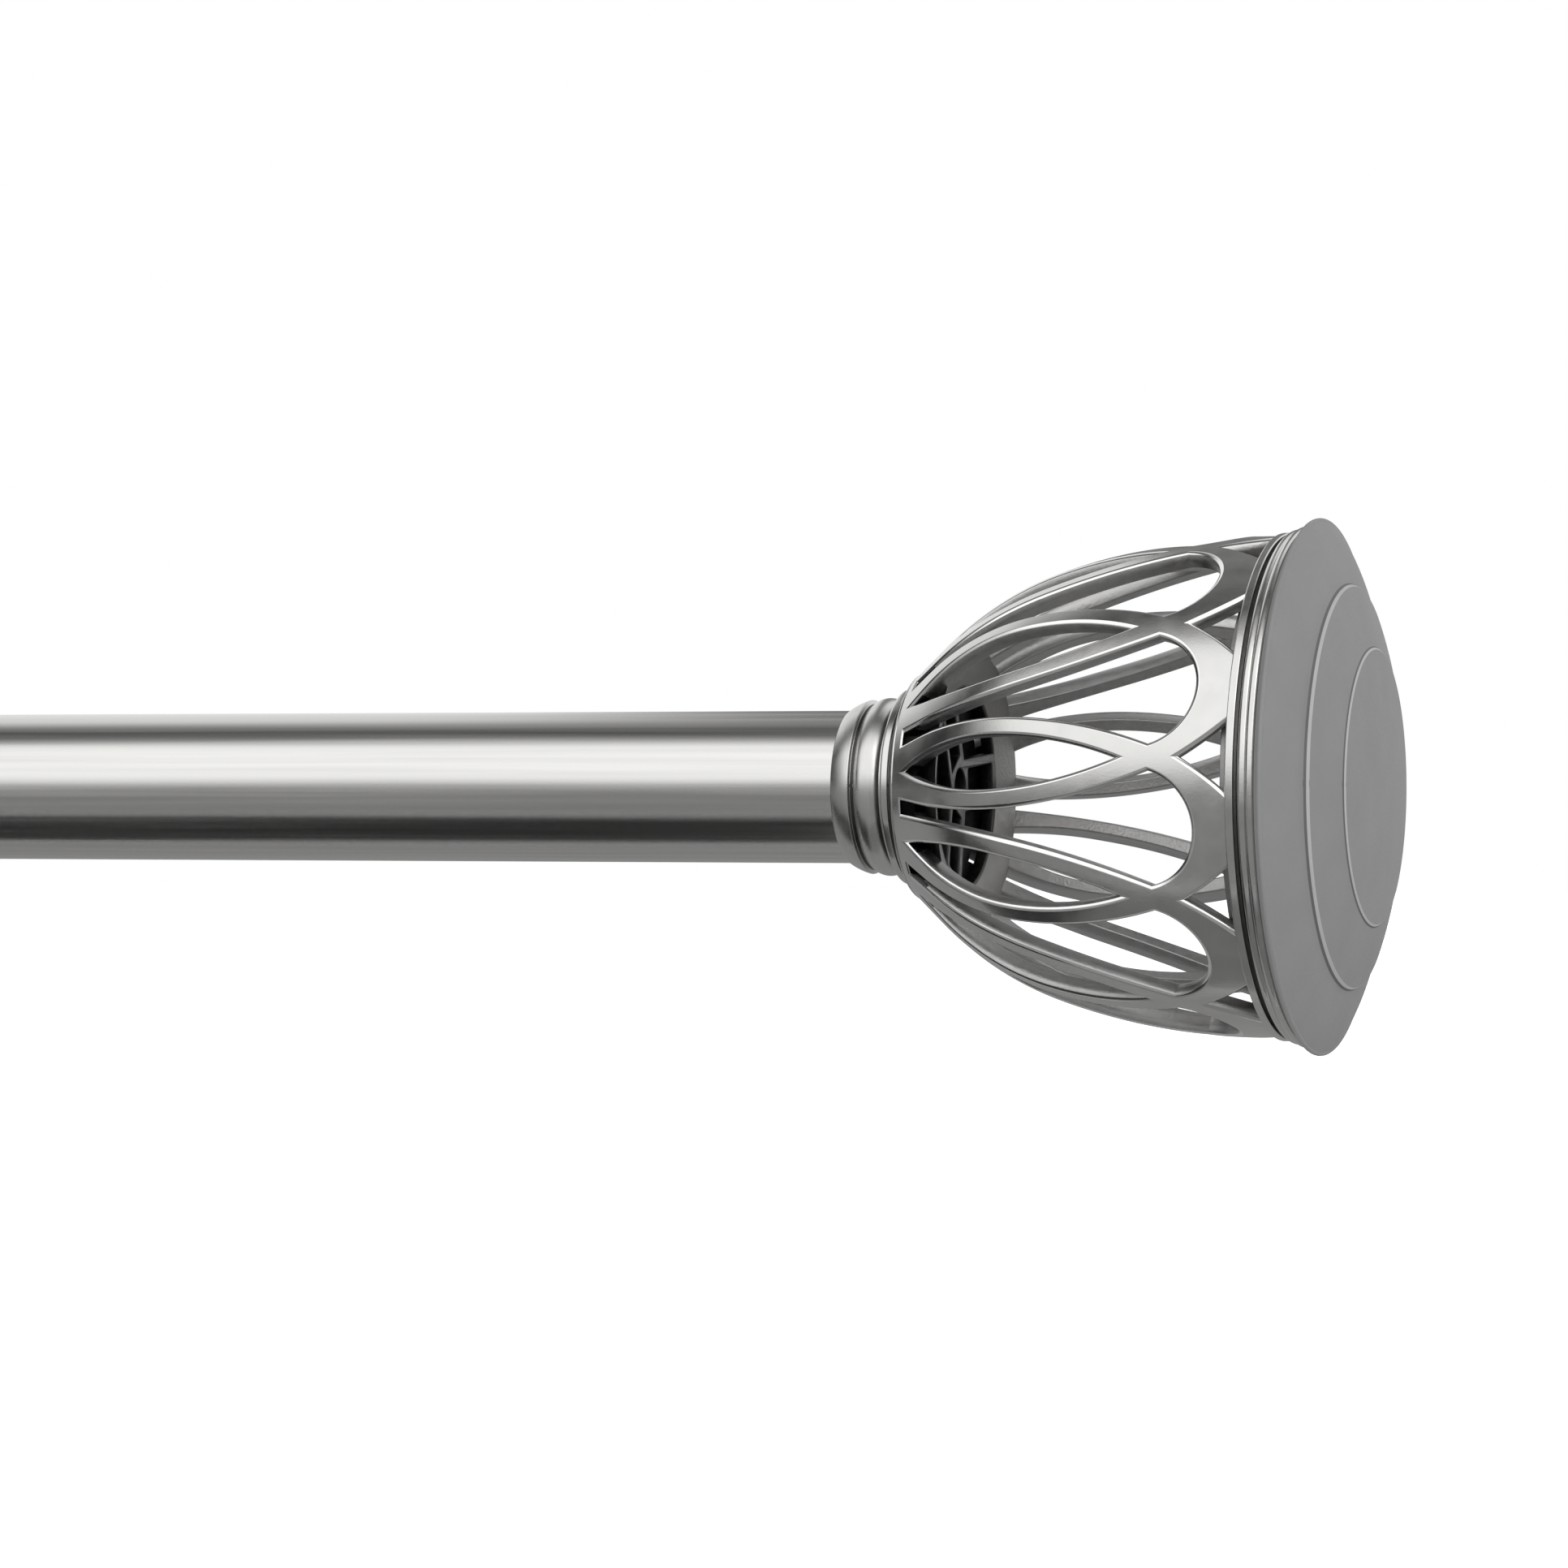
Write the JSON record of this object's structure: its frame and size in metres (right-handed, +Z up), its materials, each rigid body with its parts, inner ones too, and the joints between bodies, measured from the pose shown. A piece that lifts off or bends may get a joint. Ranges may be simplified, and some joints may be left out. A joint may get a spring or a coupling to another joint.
{
  "type": "spring tension curtain rod with finials",
  "caption": "Telescoping spring tension curtain rod in satin nickel, with open lattice cage finials that end in domed grey rubber wall pads.",
  "frame": {"origin": "middle of the closed rod, on its axis", "axes": "+X along the rod towards the finial on the outer tube, +Z up"},
  "size_m": [0.762, 0.087, 0.087],
  "materials": {
    "satin_nickel": "satin brushed nickel plate",
    "grey_rubber": "smooth matte grey rubber",
    "black_plastic": "moulded black plastic",
    "white_nylon": "natural moulded nylon",
    "zinc_steel": "bright zinc plated steel"
  },
  "bodies": {
    "outer_rod": {"outer_tube": "satin_nickel", "mouth_bush": "black_plastic", "right_collar": "satin_nickel", "right_cage": "satin_nickel", "right_end_plate": "satin_nickel", "right_pad": "grey_rubber", "right_tube_plug": "black_plastic", "right_screw": "zinc_steel", "right_washer": "zinc_steel"},
    "lock_ring": {"lock_ring": "white_nylon"},
    "lock_core": {"lock_core": "white_nylon", "stem_stop": "zinc_steel", "tension_spring": "zinc_steel"},
    "inner_rod": {"inner_tube": "satin_nickel", "tail_glide": "black_plastic", "left_collar": "satin_nickel", "left_cage": "satin_nickel", "left_end_plate": "satin_nickel", "left_pad": "grey_rubber", "left_tube_plug": "black_plastic", "left_screw": "zinc_steel", "left_washer": "zinc_steel"}
  },
  "joints": [
    {"name": "length_slide", "type": "slide", "parent": "outer_rod", "child": "lock_ring", "axis": [-1, 0, 0], "range_m": [0, 0.305]},
    {"name": "lock_twist", "type": "hinge", "parent": "lock_ring", "child": "lock_core", "pos_m": [0.2339, 0, 0], "axis": [1, 0, 0], "range_deg": [0, 90]},
    {"name": "spring_slide", "type": "slide", "parent": "lock_core", "child": "inner_rod", "axis": [1, 0, 0], "range_m": [0, 0.02], "stiffness_N_per_m": 2000, "springref_m": -0.02, "deforming": ["tension_spring"]}
  ]
}
